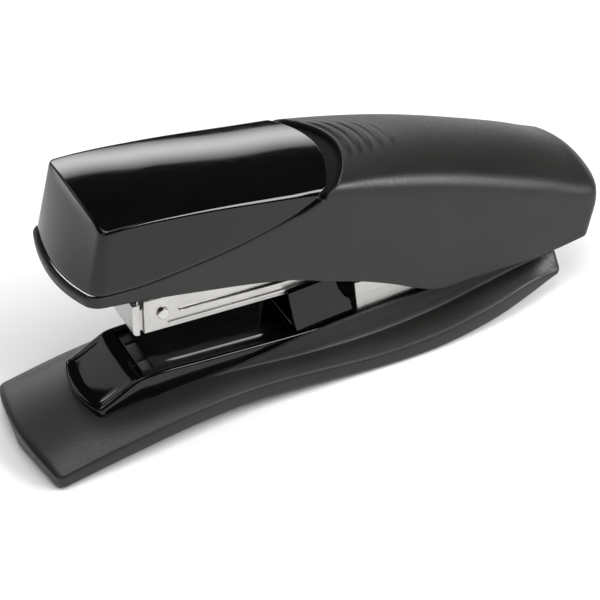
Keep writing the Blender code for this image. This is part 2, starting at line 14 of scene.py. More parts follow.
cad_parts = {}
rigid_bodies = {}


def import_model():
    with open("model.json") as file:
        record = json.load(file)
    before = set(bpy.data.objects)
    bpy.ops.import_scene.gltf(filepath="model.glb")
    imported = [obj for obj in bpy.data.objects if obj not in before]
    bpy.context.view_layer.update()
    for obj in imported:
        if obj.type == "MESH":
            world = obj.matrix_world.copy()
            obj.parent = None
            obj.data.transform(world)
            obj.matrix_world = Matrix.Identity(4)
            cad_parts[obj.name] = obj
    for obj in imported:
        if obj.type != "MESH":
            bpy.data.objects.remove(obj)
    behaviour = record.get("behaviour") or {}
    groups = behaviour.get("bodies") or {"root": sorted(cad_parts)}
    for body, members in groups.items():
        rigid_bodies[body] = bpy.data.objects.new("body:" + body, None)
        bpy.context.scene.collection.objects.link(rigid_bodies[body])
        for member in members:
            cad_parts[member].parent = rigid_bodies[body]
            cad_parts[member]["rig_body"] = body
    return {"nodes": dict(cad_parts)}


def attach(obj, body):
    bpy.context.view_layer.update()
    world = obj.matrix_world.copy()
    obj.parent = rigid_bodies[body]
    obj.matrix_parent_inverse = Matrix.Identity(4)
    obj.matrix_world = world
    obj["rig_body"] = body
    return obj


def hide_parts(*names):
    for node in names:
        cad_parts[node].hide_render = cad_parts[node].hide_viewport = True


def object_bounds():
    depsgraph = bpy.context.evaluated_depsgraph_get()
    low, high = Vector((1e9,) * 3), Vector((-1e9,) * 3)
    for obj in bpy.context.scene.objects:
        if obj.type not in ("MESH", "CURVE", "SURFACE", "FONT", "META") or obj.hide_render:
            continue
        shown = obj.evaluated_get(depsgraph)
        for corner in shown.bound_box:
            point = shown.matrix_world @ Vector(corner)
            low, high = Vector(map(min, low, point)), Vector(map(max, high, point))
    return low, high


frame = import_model()
cad_low, cad_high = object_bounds()

MM = 0.001

# Driving dimensions of the CAD model, in millimetres
BASE_FRONT = -92.4
BASE_REAR = 78.0
BASE_BULGE = 3.9
REAR_BULGE = 2.0
BASE_WALL = 2.4
HOLLOW_CEILING = 4.4
HOLLOW_FRONT = -87.8
HOLLOW_REAR = 55.2
HEAD_FRONT = -71.0
HEAD_REAR = 93.0
HEAD_HALF = 20.8
HEAD_FLARE = 0.8
HEAD_CROWN = 2.2
CAP_END = 5.0
CAP_BOW = 10.8
INSERT_HALF = 13.6
INSERT_FRONT = -73.6
INSERT_REAR = 11.0
SHOULDER_X = -60.0
ANVIL_X = -55.5
TROUGH_HALF = 14.9
TROUGH_FLOOR = 9.0
POCKET_FLOOR = 7.4

# Finer dimensions of the casings of the head
SHELL_WALL = 1.9
RIM_ROUND = 0.35
CORNER_ROUND = 3.0
REAR_ROUND = 2.2
BOW_HALF = 21.0
NOSE_BOW_HALF = 21.6
CROWN_TURN = math.radians(78)
TAIL_SWEEP = 3.0
SEAM_TURN = -16.0
HOLD_END = 46.0
CAP_REAR = 2.4
CAP_REAR_BOW = 7.2
CAP_SWEEP = 2.0
CAP_SWEEP_START = -8.0
GROOVE_DEPTH = 2.0
GROOVE_ROUND = 1.2
GROOVE_LOW = 58.0
GRIP_RIDGES = 5
GRIP_HEIGHT = 0.62
GRIP_WIDTH = 0.7
GRIP_FIRST = 2.2
GRIP_PITCH = 3.3
GRIP_REACH = 13.5
GRIP_MIDDLE = 3.5

# Finer dimensions of the casings of the base
BASE_INSET = 0.03
POCKET_FRONT = -60.0
INSERT_BOW = 3.2
INSERT_EDGE = 1.1
LIP_BOW = 1.3
LIP_WIDTH = 6.0
LIP_FOOT = 11.0
SLOT_HALF = 1.95
SLOT_DEPTH = 2.0
PANEL_DISH = 0.35
TREAD_DEPTH = 0.12

# Counts of rows and columns in the meshes of the head
WALL_ROWS = 15
GROOVE_ROWS = 8
CORNER_STEPS = 8
ARC_STEPS = 7
TOP_STEPS = 22
CAP_STEPS = 40
CAP_EDGE_STEPS = 6
CAP_WALL_STEPS = 14
REAR_STEPS = 14


def smooth(*points):
    """A function of x that runs smoothly through the (x, value) points and is level past them."""
    xs = [x for x, _ in points]
    values = [value for _, value in points]
    steps = [(values[i + 1] - values[i]) / (xs[i + 1] - xs[i]) for i in range(len(xs) - 1)]
    slopes = [steps[0]] + [(a + b) / 2 for a, b in zip(steps, steps[1:])] + [steps[-1]]

    def value_at(x):
        if x <= xs[0]:
            return values[0]
        if x >= xs[-1]:
            return values[-1]
        i = max(k for k in range(len(xs) - 1) if xs[k] <= x)
        width = xs[i + 1] - xs[i]
        s = (x - xs[i]) / width
        return (
            (1 + 2 * s) * (1 - s) ** 2 * values[i]
            + s * (1 - s) ** 2 * width * slopes[i]
            + s * s * (3 - 2 * s) * values[i + 1]
            + s * s * (s - 1) * width * slopes[i + 1]
        )

    return value_at


def fair(*points):
    """A function of x through the (x, value) points, with an even curvature: a natural cubic spline."""
    xs = [x for x, _ in points]
    values = [value for _, value in points]
    count = len(points)
    widths = [b - a for a, b in zip(xs, xs[1:])]
    steps = [(values[i + 1] - values[i]) / widths[i] for i in range(count - 1)]
    bends = [0.0] * count
    for _ in range(200):
        for i in range(1, count - 1):
            before, after = widths[i - 1], widths[i]
            pull = 6 * (steps[i] - steps[i - 1]) - before * bends[i - 1] - after * bends[i + 1]
            bends[i] = pull / (2 * (before + after))

    def value_at(x):
        x = min(max(x, xs[0]), xs[-1])
        i = max(k for k in range(count - 1) if xs[k] <= x)
        ahead, behind, width = xs[i + 1] - x, x - xs[i], widths[i]
        curve = (bends[i] * ahead**3 + bends[i + 1] * behind**3) / (6 * width)
        start = (values[i] / width - bends[i] * width / 6) * ahead
        return curve + start + (values[i + 1] / width - bends[i + 1] * width / 6) * behind

    return value_at


# The base: half width and height of its top edge, its underside, and the crease and crest of its flank
base_half = smooth(
    (-92, 24.8), (-68, 24.6), (-46, 23.8), (-28, 23.3), (0, 25.2), (32, 27.5), (52, 26.7), (66, 24.4),
    (78, 21.4),
)
base_edge = smooth(
    (-92, 5.4), (-70, 8.2), (-42, 9.7), (-14, 8.1), (15, 5.7), (34, 6.3), (52, 8.2), (66, 9.4), (78, 7.2)
)
base_under = smooth(
    (-92, 0.5), (-70, 2.8), (-45, 4.0), (-14, 2.6), (12, 0.6), (32, 0.5), (50, 2.0), (66, 4.2), (78, 5.6)
)
crease_half = smooth((-92, 15.0), (-42, 15.0), (-24, 16.2), (-6, 17.7), (18, 18.2), (55, 18.0), (78, 17.4))
crease_height = smooth(
    (-92, 8.0), (-76, 11.6), (-60, 12.6), (-38, 12.0), (-6, 9.2), (16, 7.6), (36, 8.0), (54, 10.0),
    (66, 11.2), (78, 11.5),
)
crest_rise = smooth(
    (-92, 0.3), (-42, 0.3), (-26, 1.6), (-8, 5.2), (14, 7.4), (34, 6.8), (54, 4.4), (66, 2.8), (78, 1.6)
)
insert_top = smooth(
    (-76, 14.6), (-73.6, 14.4), (-70, 15.6), (-66, 17.3), (-63, 18.7), (-60, 19.9), (-57, 20.1), (-40, 18.2),
    (-24, 16.2), (-8, 14.2), (11, 12.6),
)
# The head: its lower edge, its shoulder, the roundness of the shoulder, and the seam of its cap
head_low = smooth(
    (-71, 57.6), (-58, 54.8), (-40, 50.2), (-18, 44.2), (4, 36.0), (14, 31.4), (23, 26.0), (30, 21.0),
    (36, 17.8), (46, 16.9), (75, 15.4), (93, 16.4),
)
head_shoulder = fair(
    (-71, 82.0), (-55, 80.7), (-40, 78.5), (-24, 75.3), (-8, 71.7), (18, 65.8), (41, 58.2), (66, 46.8),
    (85, 36.8), (93, 31.8),
)
shell_round = smooth((-71, 1.0), (-4, 1.6), (8, 4.0), (30, 6.5), (93, 7.0))
seam_height = smooth(
    (-71, 61.0), (-58, 59.4), (-43, 59.5), (-28, 60.5), (-14, 62.6), (-9, 63.3), (-5, 63.8), (-1, 65.0),
    (2, 66.2),
)
cap_seam = smooth(
    (-71, 61.4), (-58, 59.8), (-43, 59.9), (-28, 60.9), (-14, 63.0), (-9.8, 63.9), (-6.6, 64.9),
    (-2.6, 66.4), (0.4, 68.2),
)


def grown(value, start, end):
    """0 at start, 1 at end, and a straight ramp between."""
    return min(1.0, max(0.0, (value - start) / (end - start)))


def eased(value, start, end):
    """0 at start, 1 at end, and a soft step between."""
    s = grown(value, start, end)
    return s * s * (3 - 2 * s)


def spread(start, end, count):
    return [start + (end - start) * i / (count - 1) for i in range(count)]


def mix(a, b, share):
    return a + (b - a) * share


# Meshes


class Patchwork:
    """A mesh built from grids of points in millimetres, whose shared edges are welded."""

    def __init__(self):
        self.mesh = bmesh.new()

    def grid(self, rows):
        made = [[self.mesh.verts.new(p) for p in row] for row in rows]
        for first, second in zip(made, made[1:]):
            for i in range(len(first) - 1):
                self.mesh.faces.new((first[i], first[i + 1], second[i + 1], second[i]))

    def close(self, row, shares):
        """Closes the end of a half piece, from the first half of its last section across to the second."""
        pairs = [(row[k], row[len(row) - 1 - k]) for k in range(len(row) // 2)]
        self.grid([[tuple(mix(a, b, s) for a, b in zip(near, far)) for s in shares] for near, far in pairs])

    def done(self, name, look, sharp=35.0):
        bmesh.ops.remove_doubles(self.mesh, verts=self.mesh.verts, dist=2e-3)
        bmesh.ops.dissolve_degenerate(self.mesh, dist=1e-4, edges=self.mesh.edges)
        bmesh.ops.recalc_face_normals(self.mesh, faces=self.mesh.faces)
        bmesh.ops.scale(self.mesh, vec=Vector((MM, MM, MM)), verts=self.mesh.verts)
        return linked(name, self.mesh, look, sharp)


def linked(name, made, look, sharp):
    """Turns a bmesh in metres into an object with one material and smooth shading up to an angle."""
    mesh = bpy.data.meshes.new(name)
    made.to_mesh(mesh)
    made.free()
    mesh.shade_smooth()
    mesh.set_sharp_from_angle(angle=math.radians(sharp))
    obj = bpy.data.objects.new(name, mesh)
    bpy.context.scene.collection.objects.link(obj)
    mesh.materials.append(look)
    return obj


def rounded(obj, width, segments, angle):
    """Rounds every edge that is sharper than the angle, in millimetres."""
    bevel = obj.modifiers.new("rounded_edges", "BEVEL")
    bevel.width = width * MM
    bevel.segments = segments
    bevel.limit_method = "ANGLE"
    bevel.angle_limit = math.radians(angle)
    bevel.use_clamp_overlap = False
    bevel.harden_normals = False


def walled(obj, thickness):
    """Gives an open sheet its wall, on the inner side."""
    solid = obj.modifiers.new("wall", "SOLIDIFY")
    solid.thickness = thickness * MM
    solid.offset = -1.0
    solid.use_quality_normals = True


def softened(node, look, width):
    """A piece that takes the place of a CAD node, with its sharp edges broken and a finer material."""
    source = frame["nodes"][node]
    made = bmesh.new()
    made.from_mesh(source.data)
    bmesh.ops.remove_doubles(made, verts=made.verts, dist=2e-6)
    bmesh.ops.dissolve_limit(
        made, angle_limit=math.radians(1.5), verts=made.verts, edges=made.edges, delimit={"NORMAL"}
    )
    bmesh.ops.recalc_face_normals(made, faces=made.faces)
    piece = linked(node + "_finish", made, look, 35.0)
    rounded(piece, width, 2, 35.0)
    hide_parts(node)
    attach(piece, source["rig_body"])
    return piece


# Head


def crescent(y):
    """How far the edge of the shell behind the cap is bowed to the rear, at a place across the head."""
    return CAP_BOW * max(0.0, 1 - (y / BOW_HALF) ** 2)


def nose_bow(x, y, z, grow):
    """How far the nose is pushed forward: bowed in plan, and leaning back towards the top."""
    width = 1 - (y / NOSE_BOW_HALF) ** 2
    height = grown(z, 60, 82)
    lean = 0.055 * y * (1 - height)
    bow = (5.2 - 4.4 * height) * width - 5.4 * height + grow + lean * eased(y, 0, 20)
    return bow * (1 - grown(x, HEAD_FRONT, -40)) ** 1.5


def rear_bow(x, y, z):
    """How far the back of the head is pushed to the rear: bowed in plan, and raked above the hinge."""
    width = 1 - (y / NOSE_BOW_HALF) ** 2
    rake = 6.0 * (1 - grown(z, 14, 31)) + 1.6 * grown(z, 31, 36)
    return (3.45 * width - rake) * grown(x, 50, HEAD_REAR) ** 2


def flared(y, z):
    """The head is a little wider low down than at its shoulder."""
    return y * (1 + HEAD_FLARE / HEAD_HALF * grown(80 - z, 0, 40))


def section_tail(x, radius, inset):
    """(y, z) points from the top of the side wall, over the shoulder, to the middle of the top."""
    half = HEAD_HALF - inset
    top = head_shoulder(x) - inset
    points = []
    for k in range(ARC_STEPS + 1):
        turn = CROWN_TURN * k / ARC_STEPS
        points.append((half - radius * (1 - math.cos(turn)), top - radius * (1 - math.sin(turn))))
    edge_y, edge_z = points[-1]
    for k in range(1, TOP_STEPS + 1):
        y = edge_y * (1 - k / TOP_STEPS)
        points.append((y, edge_z + HEAD_CROWN * (1 - (y / edge_y) ** 2)))
    return points


def grip_ridge(x, y):
    """Height of the curved grip ridges behind the cap, which fade out towards the near side and the rear."""
    behind = x - (CAP_END + crescent(y))
    height = 0.0
    for k in range(GRIP_RIDGES):
        middle = GRIP_FIRST + GRIP_PITCH * k + 0.12 * k * k
        reach = GRIP_REACH - 1.1 * k
        fade = (1 - eased(abs(y - GRIP_MIDDLE), reach * 0.45, reach)) * (1 - 0.13 * k)
        height += fade * GRIP_HEIGHT * math.exp(-(((behind - middle) / GRIP_WIDTH) ** 2))
    return height


def shell_top_rows():
    """The shoulder and top of the shell behind the cap, one row for each station."""
    stations = spread(CAP_END, CAP_END + 30, 76) + spread(CAP_END + 31, HEAD_REAR - REAR_ROUND, 44)
    ends = [math.pi / 2 * k / 6 for k in range(1, 7)]
    places = [(x, 0.0) for x in stations]
    places += [(HEAD_REAR - REAR_ROUND * (1 - math.sin(t)), REAR_ROUND * (1 - math.cos(t))) for t in ends]
    return places


def shell_point(station, y, z, side):
    """Places one point of the shell, y counted from the middle to the side that side names.

    The edge at the front follows the crescent on top, and is swept forward down the side wall.
    """
    lift = eased(z, head_shoulder(station) - shell_round(station), head_shoulder(station) - 0.1)
    hold = 1 - eased(station, CAP_END, HOLD_END)
    x = station + hold * (crescent(y) * lift - TAIL_SWEEP * (1 - lift))
    z += (head_shoulder(x) - head_shoulder(station)) * lift
    if lift > 0.5:
        z += grip_ridge(x, side * y)
    y = flared(side * y, z)
    return (x - nose_bow(x, y, z, 1.0) + rear_bow(x, y, z), y, z)


def make_shell(look):
    parts = Patchwork()
    places = shell_top_rows()
    for side in (-1, 1):
        rows = []
        for station, inset in places:
            tail = section_tail(station, max(shell_round(station) - inset, 1.0), inset)
            head_y, head_z = tail[0]
            wall = [(head_y, mix(head_low(station), head_z, k / WALL_ROWS)) for k in range(WALL_ROWS)]
            rows.append([shell_point(station, y, z, side) for y, z in wall + tail])
        parts.grid(rows)
    # the side walls and the band round the nose, ahead of the crescent
    plan = [(x, HEAD_HALF) for x in spread(CAP_END, HEAD_FRONT + CORNER_ROUND, 90)]
    for k in range(1, CORNER_STEPS + 1):
        turn = math.pi / 2 * k / CORNER_STEPS
        x = HEAD_FRONT + CORNER_ROUND * (1 - math.sin(turn))
        plan.append((x, HEAD_HALF - CORNER_ROUND * (1 - math.cos(turn))))
    front = spread(HEAD_HALF - CORNER_ROUND, -(HEAD_HALF - CORNER_ROUND), 31)[1:-1]
    whole = plan + [(HEAD_FRONT, y) for y in front] + [(x, -y) for x, y in reversed(plan)]
    rows = []
    for station, y in whole:
        sweep = TAIL_SWEEP * eased(station, SEAM_TURN, CAP_END)
        x = station - sweep
        high = seam_height(x) if station < CAP_END - 0.01 else head_shoulder(station) - shell_round(station)
        low = mix(head_low(x), head_low(station), eased(station, SEAM_TURN, CAP_END))
        row = []
        for k in range(WALL_ROWS + 1):
            z = mix(low, high, k / WALL_ROWS)
            row.append((x - nose_bow(x, y, z, 1.0), flared(y, z), z))
        rows.append(row)
    parts.grid(rows)
    # the rear wall
    station, inset = places[-1]
    tail = section_tail(station, max(shell_round(station) - inset, 1.0), inset)
    head_y, head_z = tail[0]
    half = [(head_y, mix(head_low(station), head_z, k / WALL_ROWS)) for k in range(WALL_ROWS)] + tail
    rows = []
    for y, z in half:
        across = [y * (1 - k / REAR_STEPS) for k in range(REAR_STEPS + 1)]
        row = [shell_point(station, v, z, 1) for v in across]
        row += [shell_point(station, v, z, -1) for v in reversed(across[:-1])]
        rows.append(row)
    parts.grid(rows)
    shell = parts.done("handle_shell_casing", look)
    walled(shell, SHELL_WALL)
    rounded(shell, RIM_ROUND, 3, 50.0)
    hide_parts("handle_shell")
    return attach(shell, "handle")


def make_groove(look):
    """The floor of the groove behind the cap, which runs on under both casings."""
    parts = Patchwork()
    for side in (-1, 1):
        rows = []
        for station in spread(SEAM_TURN, CAP_END + CAP_BOW + 3, 48):
            tail = section_tail(station, GROOVE_ROUND, GROOVE_DEPTH)
            head_y, head_z = tail[0]
            wall = [(head_y, mix(GROOVE_LOW, head_z, k / GROOVE_ROWS)) for k in range(GROOVE_ROWS)]
            placed = [(side * y, z) for y, z in wall + tail]
            rows.append([(station - nose_bow(station, y, z, 0.0), flared(y, z), z) for y, z in placed])
        parts.grid(rows)
    floor = parts.done("groove_floor", look)
    walled(floor, 0.8)
    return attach(floor, "handle")


def cap_point(station, y, z):
    """Places one point of the cap, whose back edge is bowed on top and swept forward down the sides."""
    lift = eased(z, head_shoulder(station) - 1.5, head_shoulder(station) - 0.1)
    bow = CAP_REAR_BOW * max(0.0, 1 - (y / HEAD_HALF) ** 2) * eased(station, -40, CAP_REAR)
    x = station + bow * lift - CAP_SWEEP * eased(station, CAP_SWEEP_START, CAP_REAR) * (1 - lift)
    z += (head_shoulder(x) - head_shoulder(station)) * lift
    y = flared(y, z)
    return (x - nose_bow(x, y, z, 0.0), y, z)


def cap_edge(x):
    """Radius of the edge between the top and the side of the cap."""
    return mix(1.2, 2.5, grown(x, -60, CAP_REAR))


def make_cap(look):
    parts = Patchwork()
    lean = 1 - math.cos(CROWN_TURN)
    rows = spread(HEAD_FRONT + CORNER_ROUND, -9, 62) + spread(-8.6, CAP_REAR, 30)
    border = [(x, HEAD_HALF - cap_edge(x) * lean, 0.0, 1.0) for x in reversed(rows)]
    reach = CORNER_ROUND - cap_edge(HEAD_FRONT) * lean
    for k in range(1, CORNER_STEPS + 1):
        turn = math.pi / 2 * k / CORNER_STEPS
        x = HEAD_FRONT + CORNER_ROUND - reach * math.sin(turn)
        y = HEAD_HALF - CORNER_ROUND + reach * math.cos(turn)
        border.append((x, y, -math.sin(turn), math.cos(turn)))

    def top_z(x, y):
        inner = HEAD_HALF - cap_edge(x) * lean
        shoulder = head_shoulder(x) - cap_edge(x) * (1 - math.sin(CROWN_TURN))
        return shoulder + HEAD_CROWN * (1 - min(1.0, (y / inner) ** 2))

    # the crowned top
    grid = []
    for x, half, _, _ in border:
        row = []
        for k in range(CAP_STEPS + 1):
            y = half * (1 - 2 * k / CAP_STEPS)
            row.append(cap_point(x, y, top_z(x, y)))
        grid.append(row)
    parts.grid(grid)
    # the shoulder and the walls, from the top edge down to the seam
    x_front, y_front, _, _ = border[-1]
    front = [(x_front, y_front * (1 - 2 * k / CAP_STEPS), -1.0, 0.0) for k in range(1, CAP_STEPS)]
    round_trip = border + front + [(x, -y, nx, -ny) for x, y, nx, ny in reversed(border)]
    walls = []
    for x, y, nx, ny in round_trip:
        high = top_z(x, y)
        edge = cap_edge(x)
        placed = [cap_point(x, y, high)]
        for k in range(1, CAP_EDGE_STEPS + 1):
            turn = CROWN_TURN * (1 - k / CAP_EDGE_STEPS)
            out = edge * (math.cos(turn) - math.cos(CROWN_TURN))
            drop = edge * (math.sin(CROWN_TURN) - math.sin(turn))
            placed.append(cap_point(x + nx * out, y + ny * out, high - drop))
        wall_x, wall_y, wall_z = x + nx * out, y + ny * out, high - drop
        low = min(cap_seam(wall_x - CAP_SWEEP * eased(x, CAP_SWEEP_START, CAP_REAR)), wall_z - 0.05)
        for k in range(1, CAP_WALL_STEPS + 1):
            placed.append(cap_point(wall_x, wall_y, mix(wall_z, low, k / CAP_WALL_STEPS)))
        walls.append(placed)
    parts.grid(walls)
    cap = parts.done("top_cap_casing", look, 50.0)
    walled(cap, SHELL_WALL)
    rounded(cap, 0.22, 2, 60.0)
    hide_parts("top_cap")
    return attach(cap, "handle")


# Base


def base_section(x):
    """Half section of the base, from the middle of its underside, round its edge, to that of its top."""
    half = base_half(x) - BASE_INSET
    edge = base_edge(x)
    under = base_under(x)
    crease_y, crease_z = crease_half(x), crease_height(x)
    rise = crest_rise(x)
    crest_y, crest_z = crease_y - 0.4 - 0.22 * rise, crease_z + rise
    hollow = HOLLOW_CEILING if HOLLOW_FRONT < x < HOLLOW_REAR else under + 0.02
    points = [(0.0, hollow), (half - BASE_WALL - 0.3, hollow), (half - BASE_WALL, hollow - 0.01)]
    points += [(half - BASE_WALL, under + 0.01), (half - BASE_WALL + 0.3, under)]
    low_round = min(1.1, 0.4 * (edge - under))
    for k in range(5):
        turn = math.pi / 2 * k / 4
        points.append((half - low_round * (1 - math.sin(turn)), under + low_round * (1 - math.cos(turn))))
    high_round = min(1.3, 0.45 * (edge - under))
    for k in range(6):
        turn = math.radians(72) * k / 5
        points.append((half - high_round * (1 - math.cos(turn)), edge - high_round * (1 - math.sin(turn))))
    flange_y, flange_z = points[-1]
    creased = eased(x, -46, -22)
    top = crest_z + 0.5

    def crowned(y, z):
        """Turns the creased flank into one smooth crown towards the front of the base."""
        return (y, mix(edge + (top - edge) * max(0.0, 1 - (y / half) ** 2) ** 0.8, z, creased))

    flange_crown = crowned(flange_y, flange_z)[1]
    for k in range(1, 13):
        s = k / 13
        y, z = mix(flange_y, crease_y, s), mix(flange_z, crease_z, s) + 0.18 * math.sin(math.pi * s)
        crown = crowned(y, z)
        points.append((y, crown[1] + (flange_z - flange_crown) * (1 - s) ** 2))
    points.append(crowned(crease_y + 0.12, crease_z - 0.02))
    points.append(crowned(crease_y, crease_z + 0.06))
    for k in range(1, 9):
        s = k / 9
        hollowing = 0.07 * rise * math.sin(math.pi * s)
        points.append(crowned(mix(crease_y, crest_y, s) - hollowing, mix(crease_z, crest_z, s) - hollowing))
    # a thin double rail runs along the crest
    rail = 0.35 * grown(rise, 0.4, 3.0)
    lip_y = min(crest_y - 1.0, TROUGH_HALF + 0.35)
    points.append(crowned(crest_y, crest_z - 0.15))
    points.append(crowned(crest_y - 0.15, crest_z))
    points.append(crowned(crest_y - 0.45, crest_z))
    points.append(crowned(crest_y - 0.6, crest_z - rail))
    points.append(crowned(crest_y - 0.85, crest_z - rail))
    points.append(crowned(lip_y, crest_z - 0.4 * rail))
    points.append(crowned(lip_y - 0.2, crest_z - 0.05 - 0.4 * rail))
    sunk = x > POCKET_FRONT
    floor = TROUGH_FLOOR if x > INSERT_REAR - 2 else POCKET_FLOOR
    side_y, side_z = crowned(lip_y - 0.3, crest_z - 0.35)
    points.append((side_y, side_z))
    points.append((side_y - 0.02, floor + 0.02) if sunk else crowned(side_y - 0.02, crest_z - 0.35))
    for s in (0.9, 0.7, 0.45, 0.2, 0.0):
        points.append((lip_y * s, floor) if sunk else crowned(lip_y * s, crest_z))
    return points


def base_place(x, y, z):
    front = BASE_BULGE * (1 - (y / 25) ** 2) * (1 - grown(x, BASE_FRONT, -58))
    rear = REAR_BULGE * (1 - (y / 20) ** 2) * grown(x, 60, BASE_REAR)
    return (x - front + rear, y, z)


def base_stations():
    """(station, shrink) pairs, with rounded ends and a close pair at each step in the section."""
    ends = [math.pi / 2 * k / 7 for k in range(8)]
    front = [(BASE_FRONT + 2.2 * (1 - math.cos(t)), 2.2 * (1 - math.sin(t))) for t in ends]
    rear = [(BASE_REAR - 1.3 * (1 - math.cos(t)), 1.3 * (1 - math.sin(t))) for t in reversed(ends)]
    middle = spread(BASE_FRONT + 2.6, BASE_REAR - 2.2, 168)
    steps = (HOLLOW_FRONT, HOLLOW_REAR, POCKET_FRONT, INSERT_REAR - 2)
    middle = [x for x in middle if all(abs(x - step) > 0.4 for step in steps)]
    middle += [step + nudge for step in steps for nudge in (-0.03, 0.03)]
    return front + [(x, 0.0) for x in sorted(middle)] + rear


def shrunk(section, amount):
    """A half section drawn in on all sides, for the rounded ends of the base."""
    if not amount:
        return section
    outer = max(y for y, _ in section)
    low = min(z for _, z in section)
    high = max(z for _, z in section)
    middle = (low + high) / 2
    keep_y = (outer - amount) / outer
    keep_z = max(0.25, 1 - 2 * amount / (high - low) * 0.8)
    return [(y * keep_y, middle + (z - middle) * keep_z) for y, z in section]


def make_base(look):
    parts = Patchwork()
    for side in (-1, 1):
        rows = []
        for station, amount in base_stations():
            rows.append([base_place(station, side * y, z) for y, z in shrunk(base_section(station), amount)])
        parts.grid(rows)
        for row in (rows[0], rows[-1]):
            parts.close(row, (0, 0.33, 0.67, 1))
    base = parts.done("base_casing", look, 30.0)
    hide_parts("base_shell")
    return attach(base, "base")


def insert_section(x):
    """Half section of the glossy insert, from the middle of its top out to its foot."""
    top = insert_top(x)
    ground = mix(crease_height(x), POCKET_FLOOR + 0.6, eased(x, -59, -52))
    front_panel = grown(x, INSERT_FRONT + 1.2, INSERT_FRONT + 3.2) * (1 - eased(x, -63.4, -61.2))
    dish = PANEL_DISH * front_panel
    tread = TREAD_DEPTH * eased(x, -52.8, -46.0)
    sunk = SLOT_DEPTH if abs(x - ANVIL_X) < SLOT_HALF else 0.0
    half = INSERT_HALF
    slope = 0.10 * grown(x, -60, -20)
    points = [(y, top - dish - tread - sunk) for y in (0.0, 3.0, 6.0, 8.4)]
    points += [(8.9, top - dish - tread * 0.75 - sunk), (9.3, top - dish - tread * 0.15 - sunk)]
    points += [(10.44, top - dish - sunk), (10.5, top - dish * 0.95 - sunk * 0.97), (10.53, top - dish * 0.9)]
    points += [(11.2, top - dish * 0.7 - slope), (11.8, top - dish * 0.3 - slope), (12.3, top - 0.05 - slope)]
    for k in range(6):
        turn = math.radians(85) * k / 5
        drop = INSERT_EDGE * (1 - math.cos(turn))
        points.append((half - INSERT_EDGE + INSERT_EDGE * math.sin(turn), top - slope - drop))
    gap = ground + 0.55
    points += [(half + 0.25, gap + 0.15), (half + 0.2, gap), (half - 0.5, gap - 0.05)]
    points += [(half - 0.55, ground - 1.0), (0.0, ground - 1.0)]
    return points


def insert_place(x, y, z):
    """Bows the front of the insert in plan, and the ridge above it, which the foot does not follow."""
    width = 1 - (y / INSERT_HALF) ** 2
    bow = max(0.0, INSERT_BOW * width * (1 - grown(x, INSERT_FRONT, SHOULDER_X)))
    ridge = LIP_BOW * width * math.exp(-(((x - SHOULDER_X) / LIP_WIDTH) ** 2))
    return (x - bow - ridge * (z > LIP_FOOT), y, z)


def make_insert(look):
    parts = Patchwork()
    slot = (ANVIL_X - SLOT_HALF, ANVIL_X + SLOT_HALF)
    fine = spread(INSERT_FRONT + 1.0, -48, 66) + spread(-47, INSERT_REAR, 74)
    fine = [x for x in fine if all(abs(x - edge) > 0.2 for edge in slot)]
    fine += [edge + nudge for edge in slot for nudge in (-0.03, 0.03)]
    ends = [math.pi / 2 * k / 5 for k in range(5)]
    stations = [(INSERT_FRONT + 1.0 - math.cos(t), 1.0 - math.sin(t)) for t in ends]
    stations += [(x, 0.0) for x in sorted(fine)]
    for side in (-1, 1):
        rows = []
        for x, amount in stations:
            ground = crease_height(x) + 0.55
            section = insert_section(x)
            high = section[0][1]
            keep = 1 - amount / max(0.5, high - ground)
            placed = []
            for y, z in section:
                if z > ground:
                    z = ground + (z - ground) * keep
                placed.append(insert_place(x, side * (y - amount * 0.6 * (y > 10)), z))
            rows.append(placed)
        parts.grid(rows)
        for row in (rows[0], rows[-1]):
            parts.close(row, (0, 0.5, 1))
    insert = parts.done("base_insert_casing", look, 32.0)
    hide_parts("base_insert")
    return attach(insert, "base")


# Materials


